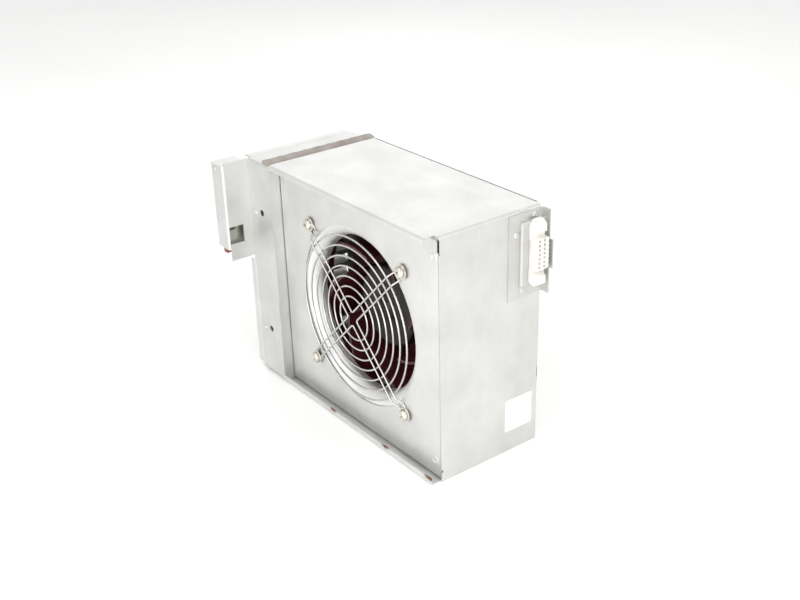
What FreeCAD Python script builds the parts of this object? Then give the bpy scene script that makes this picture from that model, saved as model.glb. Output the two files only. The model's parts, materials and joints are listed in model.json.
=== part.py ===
import FreeCAD, Part
import math
import os

# Frame while building, in millimetres: X runs from the service end to the connector end and is
# zero where the collar meets the box, Y is zero on the inlet panel's outside and grows into the
# box, Z is zero under the box. Everything is shifted at export so that the middle of the whole
# part's footprint is the origin.

# ---- driving dimensions ----
BOX_L = 179.0           # box length, collar to connector face
BOX_W = 85.5            # inlet panel's outside to far wall's outside
BOX_H = 175.0
SHEET = 1.0             # galvanised sheet thickness
BEND = 1.6              # inside bend radius of the box sheets
LIP = 8.5               # how far the top and bottom overhang the inlet panel
HEM = 4.0               # turned-down edge of the top overhang
TOE = 5.5               # turned-up edge of the bottom lip
SEAM = 1.0              # open seam between the top and the far wall
PANEL_GAP = 0.7         # open seam between the collar and the inlet panel
COLLAR_L = 29.5
COLLAR_INSET = 1.8      # collar's step down from the top and up from the bottom
COLLAR_T = 1.2
EAR_OUT = 21.2          # latch housing's reach past the collar
EAR_DROP = 2.3          # latch housing's top below the box top
EAR_H = 75.7
EAR_D = 16.5            # depth of the latch housing along X
WINDOW_W = 11.8
TONGUE_W = 7.0
PLATE_X = 1.0           # latch plate's back sheet
WINDOW_H = 13.4
FAN_BOLT = 105.0        # square pitch of the guard screws
MOUTH_R = 64.5          # hole in the inlet panel
BELL_R = 10.5           # radius of the inlet ring's curl
THROAT_R = 56.0
RING_T = 1.0
RING_FLANGE = 14.0      # flat part of the inlet ring behind the panel
WIRE_R = 0.65
GUARD_RINGS = 7
GUARD_R1 = 15.8
GUARD_STEP = 7.2
ARM_E = 3.2             # half the gap between an arm's two wires
RING_OUT = 3.1          # guard rings' wire centre in front of the panel
IMP_R = 68.0
EYE_GAP = 2.8           # impeller's inlet lip outside the ring's end
RIM_FLAT = 0.35         # least width of the shroud's outer flat
IMP_BLADES = 7
BLADE_T = 1.8
BLADE_R1 = 37.0
BLADE_SWEEP = 52.0      # degrees between a blade's inner and outer end
IMP_BACK_Y = 46.0       # back of the impeller's back plate
PLATE_T = 2.0
SLEEVE_T = 2.1          # impeller's hub sleeve round the rotor can
SLEEVE_BACK = 3.0       # sleeve's front edge behind the can's front
CAN_R = 30.0
CAN_Y = (25.0, 60.0)
CAN_T = 1.5
DISH_R = 9.0
DISH_D = 3.0
MAGNET_T = 2.8
AIR_GAP = 0.7
STATOR_Y = (36.0, 52.0)
SLOTS = 9
TUBE_R = 8.5
BEARING_R = 6.5
BEARING_W = 4.0
SHAFT_R = 2.5
RUN_GAP = 0.03
BASE_R = 32.0
BASE_Y = (64.0, 67.0)
MOTOR_PCD = 50.0
BRACKET_T = 1.5
BRACKET_HALF = (36.0, 40.0)
FOOT = 12.0
GASKET_W = 10.2
GASKET_H = 3.4
SLOT_H = 7.0            # exhaust louvres
SLOT_PITCH = 11.0
SLOT_COLUMNS = 2
SLOT_BAR = 7.0          # bar between louvre columns
SLOT_MARGIN = 10.5
VANE_T = 0.9
RIM = 6.0               # forward rims of the exhaust grille
STRIP_HOLE_R = 2.4
STRIP_HOLE_X = 15.3     # from the collar's open end
STRIP_HOLE_IN = 40.3    # strip holes from the top and the bottom
RIVET_FROM_END = 6.0
RIVET_R = 1.55
RIVET_HOLE = RIVET_R + 0.15
SCREW_R = 1.95          # guard screw's shank
CONN_DROP = 30.0        # connector's middle below the box top
CONN_IN = 8.7           # connector's middle from the far wall's outside
CONN_BODY = (11.6, 21.6)
CONN_OUT = 9.0          # connector body in front of the rear face
BODY_BACK = 14.0        # connector body behind its flange
BOSS_H = 3.0
BOSS_HALF = (12.3, 22.5)
DOUBLER_T = 0.8
DOUBLER_W = 30.0
DOUBLER_H = 58.5
LEAD_R = 2.2
ROWS = 7
PITCH = 3.0             # contact pitch along a row
ROW_GAP = 4.2           # between the two rows
CAVITY = 2.0
CAVITY_DEPTH = 5.5
LATCH_TRAVEL = 6.0
LABEL = 24.5            # label's side
LABEL_IN = 6.0          # from the far wall
LABEL_UP = 15.6         # from the underside

ROUND = 48              # flat sides that stand for a full turn on turned parts

# ---- worked-out positions ----
V = FreeCAD.Vector
CX = BOX_L / 2
CZ = BOX_H / 2
FAR_IN = BOX_W - SHEET
REAR_IN = BOX_L - SHEET
TOP_IN = BOX_H - SHEET
FRONT_X = -COLLAR_L
COLLAR_Z = (COLLAR_INSET, BOX_H - COLLAR_INSET)
EAR_Y = -LIP - EAR_OUT
EAR_Z = (BOX_H - EAR_DROP - EAR_H, BOX_H - EAR_DROP)
EAR_WALL_Z = (EAR_Z[0] + 9.0, EAR_Z[1] - 1.9)
WINDOW_Z = (EAR_WALL_Z[0] + 4.3, EAR_WALL_Z[0] + 4.3 + WINDOW_H)
GRIP_Z = (EAR_WALL_Z[0] + 12.4, EAR_WALL_Z[0] + 33.6)
PIN_Z = (EAR_WALL_Z[0] + 23.0, EAR_WALL_Z[1] - 4.0)
SEAT_Z = EAR_WALL_Z[0] + 39.0        # spring's seat in the slide
CONN_Z = BOX_H - CONN_DROP
CONN_Y = BOX_W - CONN_IN
BACK_Y0 = SHEET + 0.1
THROAT_Y = BACK_Y0 + BELL_R
SQUARED = math.sqrt(math.pi) / 2     # half side of a square wire over the radius of a round one
ARM_OUT = RING_OUT + 2 * WIRE_R * SQUARED - 0.1
EYE_OUT = WIRE_R * SQUARED + 0.05
BOSS_Y = (CONN_Y - BOSS_HALF[0], BOX_W - DOUBLER_T)
BOSS_Z = (CONN_Z - 0.5 - BOSS_HALF[1], CONN_Z - 0.5 + BOSS_HALF[1])
DOUBLER_Y = (BOX_W - DOUBLER_W, BOX_W)
DOUBLER_Z = (CONN_Z - 1.25 - DOUBLER_H / 2, CONN_Z - 1.25 + DOUBLER_H / 2)
BOSS_X = BOX_L + BOSS_H
STATOR_R = CAN_R - CAN_T - 0.1 - MAGNET_T - AIR_GAP


def box(x0, y0, z0, x1, y1, z1):
    return Part.makeBox(x1 - x0, y1 - y0, z1 - z0, V(x0, y0, z0))


def rod(p, axis, r, length):
    return Part.makeCylinder(r, length, V(*p), V(*axis))


def peg(p, axis, r, length, sides=8):
    """Many-sided stand-in for a small round shank, head or clearance hole."""
    corners = [V(r * math.cos(2 * math.pi * (k + 0.5) / sides), r * math.sin(2 * math.pi * (k + 0.5) / sides), 0)
               for k in range(sides)]
    shape = Part.Face(Part.makePolygon(corners + corners[:1])).extrude(V(0, 0, length))
    shape.Placement = FreeCAD.Placement(V(*p), FreeCAD.Rotation(V(0, 0, 1), V(*axis)))
    return shape


def fuse(parts):
    shape = parts[0]
    if len(parts) > 1:
        shape = shape.multiFuse(parts[1:])
    return shape.removeSplitter()


def cut(shape, tools):
    return shape.cut(Part.makeCompound(tools))


def spun(points, sides):
    """Turned form about the fan axis from (radius, y) points, with so many flat sides."""
    turns = []
    for k in range(sides):
        c = math.cos(2 * math.pi * k / sides)
        n = math.sin(2 * math.pi * k / sides)
        turns.append([V(CX + r * c, y, CZ + r * n) for r, y in points])
    faces = []
    for k in range(sides):
        here = turns[k]
        there = turns[(k + 1) % sides]
        for i in range(len(points)):
            j = (i + 1) % len(points)
            faces.append(Part.Face(Part.makePolygon([here[i], there[i], there[j], here[j], here[i]])))
    solid = Part.makeSolid(Part.makeShell(faces))
    if solid.Volume < 0:
        solid.reverse()
    return solid.removeSplitter()


def fan_peg(y0, y1, r, x=0.0, z=0.0, sides=8):
    return peg((CX + x, y0, CZ + z), (0, 1, 0), r, y1 - y0, sides)


def fan_peg_ring(y0, y1, r_out, r_in, sides):
    outer = fan_peg(y0, y1, r_out, sides=sides)
    return outer.cut(fan_peg(y0 - 1, y1 + 1, r_in, sides=sides))


def unit(a, b):
    d = math.hypot(b[0] - a[0], b[1] - a[1])
    return ((b[0] - a[0]) / d, (b[1] - a[1]) / d)


def shifted_path(points, d):
    """The 2D path moved sideways by d, to the left of its direction."""
    out = []
    for i, p in enumerate(points):
        dirs = []
        if i > 0:
            dirs.append(unit(points[i - 1], p))
        if i < len(points) - 1:
            dirs.append(unit(p, points[i + 1]))
        n = [(-u[1], u[0]) for u in dirs]
        if len(n) == 1:
            out.append((p[0] + d * n[0][0], p[1] + d * n[0][1]))
            continue
        k = d / (1 + n[0][0] * n[1][0] + n[0][1] * n[1][1])
        out.append((p[0] + k * (n[0][0] + n[1][0]), p[1] + k * (n[0][1] + n[1][1])))
    return out


def rounded_edges(points, radii, place):
    """Lines and tangent arcs along a path whose inner corners are rounded."""
    edges = []
    at = place(points[0])
    for i in range(1, len(points) - 1):
        corner = place(points[i])
        a = (place(points[i - 1]) - corner).normalize()
        b = (place(points[i + 1]) - corner).normalize()
        half = a.getAngle(b) / 2
        back = radii[i - 1] / math.tan(half)
        mid = (a + b).normalize()
        p = corner + a * back
        q = corner + b * back
        m = corner + mid * (radii[i - 1] / math.sin(half) - radii[i - 1])
        if (p - at).Length > 1e-6:
            edges.append(Part.makeLine(at, p))
        edges.append(Part.Arc(p, m, q).toShape())
        at = q
    end = place(points[-1])
    if (end - at).Length > 1e-6:
        edges.append(Part.makeLine(at, end))
    return edges


def folded(points, t, r, place, run):
    """A bent sheet beside the path, to its left where t is above zero, bent inside at radius r."""
    left = shifted_path(points, t)
    near = []
    far = []
    for i in range(1, len(points) - 1):
        u = unit(points[i - 1], points[i])
        w = unit(points[i], points[i + 1])
        turns_left = u[0] * w[1] - u[1] * w[0] > 0
        outside = turns_left == (t > 0)
        near.append(r + abs(t) if outside else r)
        far.append(r if outside else r + abs(t))
    edges = rounded_edges(points, near, place)
    edges += [Part.makeLine(place(points[-1]), place(left[-1]))]
    edges += rounded_edges(left, far, place)
    edges += [Part.makeLine(place(points[0]), place(left[0]))]
    wire = Part.Wire(Part.__sortEdges__(edges))
    return Part.Face(wire).extrude(run)


def on_xz(y):
    return lambda p: V(p[0], y, p[1])


def on_yz(x):
    return lambda p: V(x, p[0], p[1])


def on_xy(z):
    return lambda p: V(p[0], p[1], z)


def swept_wire(points, radii, r, steps):
    """Wire along a path whose corners are rounded, each in so many short straight steps."""
    path = []
    for edge in rounded_edges(points, radii, lambda p: V(*p)):
        straight = edge.Curve.TypeId == "Part::GeomLine"
        stops = edge.discretize(2 if straight else steps + 1)
        if path and (stops[-1] - path[-1]).Length < (stops[0] - path[-1]).Length:
            stops.reverse()
        path += stops[1:] if path else stops
    return mitred_wire(path, r)


def mitred_wire(path, r):
    start = wire_section(path[0], (path[1] - path[0]).normalize(), r)
    return Part.makePolygon(path).makePipeShell([start], True, False, 1)


def wire_section(p, axis, r):
    """Square section of equal area that stands for a round wire."""
    across = axis.cross(V(0, 1, 0))
    if across.Length < 0.1:
        across = axis.cross(V(0, 0, 1))
    a = across.normalize() * (r * SQUARED)
    b = axis.cross(across).normalize() * (r * SQUARED)
    return Part.makePolygon([p + a + b, p + a - b, p - a - b, p - a + b, p + a + b])


# ---- box ----

def cover():
    """Top, connector face and far wall in one bent sheet."""
    top = folded([(0, BOX_H), (BOX_L, BOX_H), (BOX_L, 0)], -SHEET, BEND, on_xz(0), V(0, BOX_W - 10, 0))
    edge = box(0, BOX_W - 10, TOP_IN, BOX_L - 5, FAR_IN - SEAM, BOX_H)
    ledge = folded([(10, BOX_H), (-LIP, BOX_H), (-LIP, BOX_H - HEM)], SHEET, 0.6, on_yz(0),
                   V(BOX_L - 4.8, 0, 0))
    wall = folded([(0, BOX_W), (BOX_L, BOX_W), (BOX_L, BOX_W - 20)], -SHEET, BEND, on_xy(0),
                  V(0, 0, BOX_H))
    trim = box(BOX_L - 5, FAR_IN - 12, BOX_H - 5, BOX_L + 1, BOX_W + 1, BOX_H + 1)
    top = cut(top, [box(-1, -1, TOP_IN - 1, BOX_L - 4.8, 9, BOX_H + 1)])
    corner = folded([(BOX_L - 10, BOX_H), (BOX_L, BOX_H), (BOX_L, BOX_H - 8)], -SHEET, BEND,
                    on_xz(BOX_W - 12.2), V(0, 11.2 - SEAM, 0))
    corner = cut(corner, [box(0, 0, 0, BOX_L - 5.2, BOX_W, BOX_H + 1)])
    shape = fuse([top, edge, ledge, cut(wall, [trim]), corner])
    back = box(REAR_IN - 1, BOSS_Y[0] + 3, BOSS_Z[0] + 3, BOX_L + 1,
               CONN_Y + CONN_BODY[0] / 2 + 0.4, BOSS_Z[1] - 3)
    notch = box(BOX_L - 3, BOX_W - 1.9, 49.0, BOX_L + 1, BOX_W - 1.1, 57.0)
    relief = rod((REAR_IN - 1, 0.3, 7.8), (1, 0, 0), 1.2, 4)
    slot = box(REAR_IN - 0.5, -0.5, BOX_H - 12, BOX_L + 0.5, 0.7, BOX_H - 2.2)
    holes = [peg((REAR_IN - 1, y, z), (1, 0, 0), RIVET_HOLE, 4) for y, z in rivet_points()]
    feet = [peg((x, FAR_IN - 1, z), (0, 1, 0), RIVET_HOLE, 3) for x, z in foot_points()]
    return cut(shape, [back, notch, relief, slot] + holes + feet)


def base():
    """Bottom plate with the turned-up lip and an inside flange at the far wall."""
    far = FAR_IN - 0.1
    path = [(far, 12), (far, 0), (-LIP, 0), (-LIP, TOE)]
    shape = folded(path, -SHEET, BEND, on_yz(0), V(REAR_IN - 0.1, 0, 0))
    clear = BEND + 0.3
    return cut(shape, [box(-1, FAR_IN - 4, SHEET + BEND, 4, BOX_W, 20),
                       box(REAR_IN - clear, FAR_IN - clear, -1, REAR_IN + 1, FAR_IN + 1, 20)])


def inlet_panel():
    """Recessed inlet panel with folded edges, the inlet hole and screw holes."""
    low = SHEET + 0.1
    high = TOP_IN - 0.1
    path = [(12, low), (0, low), (0, high), (12, high)]
    panel = folded(path, -SHEET, BEND, on_yz(PANEL_GAP), V(REAR_IN - 0.3 - PANEL_GAP, 0, 0))
    tools = [fan_peg(-1, 3, MOUTH_R, sides=ROUND)]
    tools += [fan_peg(-1, 3, SCREW_R + 0.3, x, z) for x, z in bolt_points()]
    tools.append(box(REAR_IN - 1.5, -1, BOX_H - 11, REAR_IN + 1, 2, BOX_H))
    tools.append(box(REAR_IN - BEND - 0.3, 1, TOP_IN - BEND - 0.3, REAR_IN + 1, 14, BOX_H))
    return cut(panel, tools)


def bolt_points():
    h = FAN_BOLT / 2
    return [(sx * h, sz * h) for sx in (-1, 1) for sz in (-1, 1)]


def bell_points(r_bell):
    """(radius, y) points of the ring's curl, a quarter turn about the throat's rounding centre."""
    steps = 4
    points = []
    for k in range(steps + 1):
        a = math.radians(90 * k / steps)
        points.append((THROAT_R + BELL_R - r_bell * math.sin(a), BACK_Y0 + BELL_R - r_bell * math.cos(a)))
    return points


def inlet_ring():
    """Spun bellmouth: flat flange behind the panel curling into the throat."""
    rim = THROAT_R + BELL_R + RING_FLANGE
    y_end = THROAT_Y + 2.0
    near = [(rim, BACK_Y0)] + bell_points(BELL_R) + [(THROAT_R, y_end)]
    far = [(rim, BACK_Y0 + RING_T)] + bell_points(BELL_R - RING_T) + [(THROAT_R + RING_T, y_end)]
    ring = spun(near + list(reversed(far)), ROUND)
    return cut(ring, [fan_peg(0, 4, SCREW_R + 0.3, x, z) for x, z in bolt_points()])


# ---- finger guard ----

def guard_arm(turn):
    """One bent wire: from one screw's eye, round the open centre, to the next screw's eye."""
    reach = FAN_BOLT / 2 * math.sqrt(2)

    def at(s, w, y, side):
        a = math.radians(turn + 45 * side)
        c, n = math.cos(a), math.sin(a)
        w *= side
        return (CX + s * n + w * -c, -y, CZ + s * c + w * n)

    stations = [(reach + ARM_E, 0, EYE_OUT), (reach + ARM_E, ARM_E, EYE_OUT),
                (reach - 6.5, ARM_E, EYE_OUT), (reach - 11.5, ARM_E, ARM_OUT)]
    out = [at(s, w, y, 1) for s, w, y in stations]
    back = [at(s, w, y, -1) for s, w, y in reversed(stations)]
    a = math.radians(turn)
    apex = ARM_E * math.sqrt(2)
    tip = (CX + apex * math.sin(a), -ARM_OUT, CZ + apex * math.cos(a))
    radii = [ARM_E, 3.0, 3.0, 1.8, 3.0, 3.0, ARM_E]
    return swept_wire(out + [tip] + back, radii, WIRE_R, 2)


def finger_guard():
    arms = [guard_arm(90 * k) for k in range(4)]
    rings = []
    half = WIRE_R * SQUARED
    for k in range(GUARD_RINGS):
        r = GUARD_R1 + GUARD_STEP * k
        sides = 4 * math.ceil(math.sqrt(r))
        rings.append(fan_peg_ring(-RING_OUT - half, -RING_OUT + half, r + half, r - half, sides))
    return Part.makeCompound(arms + rings)


def pan_head(p, axis, r, h, shank_r, shank_l):
    """Screw whose head stands on p along axis, with a shank going the other way."""
    back = [-c for c in axis]
    head = peg(p, axis, r, h, 10)
    rim = [e for e in head.Edges if (e.CenterOfMass - V(*p)).dot(V(*axis)) > 0.9 * h]
    head = head.makeChamfer(0.28 * h, rim)
    return head.fuse(peg(p, back, shank_r, shank_l, 6))


def guard_screws():
    y = -(EYE_OUT + WIRE_R * SQUARED + 0.9)
    return Part.makeCompound([pan_head((CX + x, y, CZ + z), (0, -1, 0), 4.0, 2.7, SCREW_R, 9.4)
                              for x, z in bolt_points()])


def guard_washers():
    y = -(EYE_OUT + WIRE_R * SQUARED)
    rings = []
    for x, z in bolt_points():
        disc = fan_peg(y - 0.8, y - 0.05, 5.2, x, z, 12)
        rings.append(disc.cut(fan_peg(y - 2, y + 1, SCREW_R + 0.2, x, z)))
    return Part.makeCompound(rings)


def guard_nuts():
    y = BACK_Y0 + RING_T + 0.05
    return Part.makeCompound([hex_nut(CX + x, y, CZ + z) for x, z in bolt_points()])


def hex_nut(x, y, z):
    corners = [V(x + 4.0 * math.cos(math.radians(60 * k)), y, z + 4.0 * math.sin(math.radians(60 * k)))
               for k in range(7)]
    body = Part.Face(Part.makePolygon(corners)).extrude(V(0, 2.6, 0))
    return body.cut(peg((x, y - 1, z), (0, 1, 0), SCREW_R + 0.05, 5, 6))


# ---- fan ----

def shroud_points(inset):
    """(radius, y) points along the shroud, from its inlet lip to its outer edge."""
    lip = THROAT_R + RING_T + EYE_GAP
    y0 = THROAT_Y + 0.9
    swing = 80
    curl = (IMP_R - RIM_FLAT - lip) / (1 - math.cos(math.radians(swing)))
    points = [(lip - inset, y0)]
    steps = 3
    for k in range(steps + 1):
        a = math.radians(swing * k / steps)
        points.append((lip + curl - (curl + inset) * math.cos(a), y0 + 2 + (curl + inset) * math.sin(a)))
    last = points[-1]
    points.append((IMP_R, last[1] + (IMP_R - last[0]) * math.tan(math.radians(10))))
    return points


def blade(k):
    """Backward-curved blade: a sheet along a spiral arc, in short straight steps."""
    steps = 6
    start = 2 * math.pi * k / IMP_BLADES
    r_end = IMP_R - 0.3
    line = []
    for i in range(steps + 1):
        t = i / steps
        r = BLADE_R1 + (r_end - BLADE_R1) * t
        a = start + math.radians(BLADE_SWEEP) * t ** 0.85
        line.append((r * math.cos(a), r * math.sin(a)))
    outline = shifted_path(line, -BLADE_T / 2) + list(reversed(shifted_path(line, BLADE_T / 2)))
    corners = [V(CX + x, THROAT_Y, CZ + z) for x, z in outline + outline[:1]]
    return Part.Face(Part.makePolygon(corners)).extrude(V(0, IMP_BACK_Y - THROAT_Y - 0.5, 0))


def impeller():
    """Backward-curved centrifugal impeller: shroud, curved blades, back plate and hub sleeve."""
    outer = shroud_points(0.0)
    inner = shroud_points(1.6)
    shroud = spun(outer + list(reversed(inner)), ROUND)
    front = IMP_BACK_Y - PLATE_T
    sleeve = CAN_Y[0] + SLEEVE_BACK
    back = spun([(CAN_R + 0.1, sleeve), (CAN_R + SLEEVE_T, sleeve), (CAN_R + SLEEVE_T, front), (IMP_R, front),
                 (IMP_R, IMP_BACK_Y), (CAN_R + SLEEVE_T, IMP_BACK_Y), (CAN_R + SLEEVE_T, IMP_BACK_Y + 4),
                 (CAN_R + 0.1, IMP_BACK_Y + 4)], ROUND)
    room = spun([(BLADE_R1 - 3, front + 1), (IMP_R, front + 1)] + list(reversed(shroud_points(0.6)))
                + [(THROAT_R + RING_T + 0.9, THROAT_Y + 3.4), (BLADE_R1 + 8, THROAT_Y + 5.0)], ROUND)
    blades = [blade(k).common(room) for k in range(IMP_BLADES)]
    return fuse([back, shroud] + blades)


def rotor_can():
    """Drawn steel rotor cup with a dished middle and a boss on the shaft."""
    y0, y1 = CAN_Y
    r_in = CAN_R - CAN_T
    bore = SHAFT_R + 0.02
    dish = y0 + DISH_D
    t = CAN_T
    points = [(bore, dish), (DISH_R, dish), (DISH_R + 1.6, y0), (CAN_R - 2.2, y0), (CAN_R, y0 + 2.2),
              (CAN_R, y1), (r_in, y1), (r_in, y0 + 2.2 + t * 0.4), (CAN_R - 2.2 - t * 0.4, y0 + t),
              (DISH_R + 2.4, y0 + t), (DISH_R + 1.0, dish + t), (bore, dish + t)]
    return spun(points, ROUND)


def rotor_magnet():
    r = CAN_R - CAN_T - 0.1
    return fan_peg_ring(CAN_Y[0] + 6, CAN_Y[1] - 2, r, r - MAGNET_T, 36)


def shaft():
    y0 = CAN_Y[0] + DISH_D - 1.0
    return rod((CX, y0, CZ), (0, 1, 0), SHAFT_R, BASE_Y[0] - 1.0 - y0)


def bearings():
    spots = (STATOR_Y[0] - 2.0, BASE_Y[0] - 3.0 - BEARING_W)
    sides = 24
    bore = (SHAFT_R + RUN_GAP) / math.cos(math.pi / sides)
    return Part.makeCompound([fan_peg_ring(y, y + BEARING_W, BEARING_R - 0.05, bore, sides) for y in spots])


def motor_base():
    """Die-cast motor flange with the bearing tube and the posts of the drive board."""
    disc = fan_peg(BASE_Y[0], BASE_Y[1], BASE_R, sides=ROUND)
    tube = fan_peg_ring(STATOR_Y[0] - 2.5, BASE_Y[0], TUBE_R, BEARING_R, 24)
    posts = []
    for k in range(3):
        a = math.radians(120 * k + 30)
        posts.append(fan_peg(BASE_Y[0] - 2.2, BASE_Y[0] + 1, 1.6, 20 * math.cos(a), 20 * math.sin(a)))
    tools = [fan_peg(BASE_Y[0] - 1, BASE_Y[1] + 1, 1.3, x, z, 6) for x, z in motor_points()]
    tools.append(fan_peg(BASE_Y[0] - 1, BASE_Y[1] + 1, 5.5, lead_x(), 0, 16))
    return cut(fuse([disc, tube] + posts), tools)


def lead_x():
    return TUBE_R + 0.5 * (STATOR_R - TUBE_R)


def motor_points():
    r = MOTOR_PCD / 2
    return [(r * math.cos(math.radians(45 + 90 * k)), r * math.sin(math.radians(45 + 90 * k)))
            for k in range(4)]


def drive_board():
    y = BASE_Y[0] - 2.25
    return fan_peg_ring(y - 1.6, y, STATOR_R - 1, TUBE_R + 1.4, 12)


def stator_core():
    """Slotted lamination stack."""
    y0, y1 = STATOR_Y
    core = fan_peg_ring(y0, y1, STATOR_R, TUBE_R + 0.1, 36)
    tools = []
    step = 360.0 / SLOTS
    r_in = TUBE_R + 3.5
    r_out = STATOR_R - 2.2
    for k in range(SLOTS):
        w_in = 2 * math.pi * r_in / SLOTS - 4.2
        w_out = 2 * math.pi * r_out / SLOTS - 4.2
        corners = [(r_in, -w_in / 2), (r_out, -w_out / 2), (r_out, w_out / 2), (r_in, w_in / 2)]
        wire = Part.makePolygon([V(r, y0 - 1, w) for r, w in corners + corners[:1]])
        slot = Part.Face(wire).extrude(V(0, y1 - y0 + 2, 0))
        slot = slot.fuse(box(r_out - 1, y0 - 1, -1.1, STATOR_R + 2, y1 + 1, 1.1))
        slot.rotate(V(0, 0, 0), V(0, 1, 0), step * (k + 0.5))
        slot.translate(V(CX, 0, CZ))
        tools.append(slot)
    return cut(core, tools)


def stator_windings():
    """One coil round each tooth."""
    y0, y1 = STATOR_Y
    r0 = TUBE_R + 4.6
    r1 = STATOR_R - 2.9
    tooth = 2.35
    room = math.pi * r0 / SLOTS - 0.35
    coils = []
    for k in range(SLOTS):
        coil = box(r0, y0 - 3, -room, r1, y1 + 3, room)
        coil = coil.cut(box(r0 - 1, y0 - 0.2, -tooth, r1 + 1, y1 + 0.2, tooth))
        coil.rotate(V(0, 0, 0), V(0, 1, 0), 360.0 / SLOTS * k)
        coil.translate(V(CX, 0, CZ))
        coils.append(coil)
    return Part.makeCompound(coils)


def foot_points():
    z = BRACKET_HALF[1] + FOOT / 2 + 1
    return [(CX + sx * (BRACKET_HALF[0] - 10), CZ + sz * z) for sx in (-1, 1) for sz in (-1, 1)]


def motor_bracket():
    """Hat-section bracket that carries the motor on the far wall."""
    hx, hz = BRACKET_HALF
    face = BASE_Y[1] + 0.05
    back = face + BRACKET_T
    path = [(FAR_IN, CZ - hz - FOOT), (FAR_IN, CZ - hz), (back, CZ - hz),
            (back, CZ + hz), (FAR_IN, CZ + hz), (FAR_IN, CZ + hz + FOOT)]
    hat = folded(path, BRACKET_T, 1.5, on_yz(CX - hx), V(2 * hx, 0, 0))
    low = BASE_Y[1] - 2
    tools = [fan_peg(low, low + 5, 1.7, x, z) for x, z in motor_points()]
    tools.append(fan_peg(low, low + 5, 6.0, lead_x(), 0, 16))
    tools += [peg((x, FAR_IN - 4, z), (0, 1, 0), RIVET_HOLE, 6) for x, z in foot_points()]
    return cut(hat, tools)


def motor_screws():
    y = BASE_Y[1] + 0.05 + BRACKET_T + 0.05
    return Part.makeCompound([pan_head((CX + x, y, CZ + z), (0, 1, 0), 2.8, 2.0, 1.25, 4.2)
                              for x, z in motor_points()])


def blind_rivet(p, axis, r, h, grip):
    """Rivet with its head on p along axis and its body through the sheets."""
    return pan_head(p, axis, r, h, RIVET_R, grip + 1.0)


def foot_rivets():
    return Part.makeCompound([blind_rivet((x, BOX_W + 0.03, z), (0, 1, 0), 3.2, 1.0,
                                          SHEET + BRACKET_T) for x, z in foot_points()])


# ---- service end ----

def collar():
    """Collar round the exhaust with the bulkhead that the box sheets are welded to."""
    x0, x1 = FRONT_X, 0.0
    z0, z1 = COLLAR_Z
    t = COLLAR_T
    outer = box(x0, -LIP, z0, x1 - t, BOX_W, z1)
    edges = [e for e in outer.Edges if abs(e.tangentAt(e.FirstParameter).x) > 0.9]
    outer = outer.makeFillet(t + 0.8, edges)
    inner = box(x0 - 1, -LIP + t, z0 + t, x1 - t, BOX_W - t, z1 - t)
    edges = [e for e in inner.Edges if abs(e.tangentAt(e.FirstParameter).x) > 0.9]
    inner = inner.makeFillet(0.8, edges)
    tube = outer.cut(inner)
    wall = box(x1 - t, -LIP, 1.2, x1, BOX_W, BOX_H - 1.2)
    wall = wall.cut(box(x1 - t - 1, 9.0, 14.0, x1 + 1, BOX_W - 9, BOX_H - 14))
    tools = [rod((FRONT_X + STRIP_HOLE_X, -LIP - 1, z), (0, 1, 0), STRIP_HOLE_R, 4)
             for z in (STRIP_HOLE_IN, BOX_H - STRIP_HOLE_IN)]
    tools += [peg((x, -LIP - 1, z), (0, 1, 0), RIVET_HOLE, 4) for x, z in strip_points()]
    return cut(fuse([tube, wall]), tools)


def strip_points():
    below = 1.9
    return [(FRONT_X + RIVET_FROM_END, z - below) for z in (STRIP_HOLE_IN, BOX_H - STRIP_HOLE_IN)]


def strip_rivets():
    return Part.makeCompound([blind_rivet((x, -LIP - 0.03, z), (0, -1, 0), 2.3, 0.8, COLLAR_T)
                              for x, z in strip_points()])


def gasket():
    """Foam strip with a rounded top along the collar's upper face."""
    x1 = -COLLAR_T - 0.3
    x0 = x1 - GASKET_W
    z0 = COLLAR_Z[1] + 0.02
    mid = (x0 + x1) / 2
    edges = [Part.makeLine(V(x0, 0, z0), V(x1, 0, z0)),
             Part.makeLine(V(x1, 0, z0), V(x1, 0, z0 + GASKET_H * 0.45)),
             Part.Arc(V(x1, 0, z0 + GASKET_H * 0.45), V(mid, 0, z0 + GASKET_H),
                      V(x0, 0, z0 + GASKET_H * 0.45)).toShape(),
             Part.makeLine(V(x0, 0, z0 + GASKET_H * 0.45), V(x0, 0, z0))]
    face = Part.Face(Part.Wire(edges))
    face.translate(V(0, -LIP + 1.6, 0))
    return face.extrude(V(0, BOX_W + LIP - 1.6, 0))


def louvre_spans():
    """(y, length) of each louvre column."""
    free = BOX_W + LIP - 2 * SLOT_MARGIN - (SLOT_COLUMNS - 1) * SLOT_BAR
    length = free / SLOT_COLUMNS
    return [(-LIP + SLOT_MARGIN + j * (length + SLOT_BAR), length) for j in range(SLOT_COLUMNS)]


def louvre_tops():
    rows = int((COLLAR_Z[1] - COLLAR_Z[0] - 16) / SLOT_PITCH)
    return [CZ + (i - (rows - 1) / 2) * SLOT_PITCH + SLOT_H / 2 for i in range(rows)]


def vane(x, top):
    """Outline of a louvre: a lip bent out and up from the bottom of its slot."""
    low = top - SLOT_H
    reach = RIM
    return [(x, low - VANE_T), (x, low), (x - SHEET, low + VANE_T), (x - SHEET - reach, top + 0.5),
            (x - SHEET - reach, top + 0.5 - VANE_T), (x - SHEET, low - VANE_T)]


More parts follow.
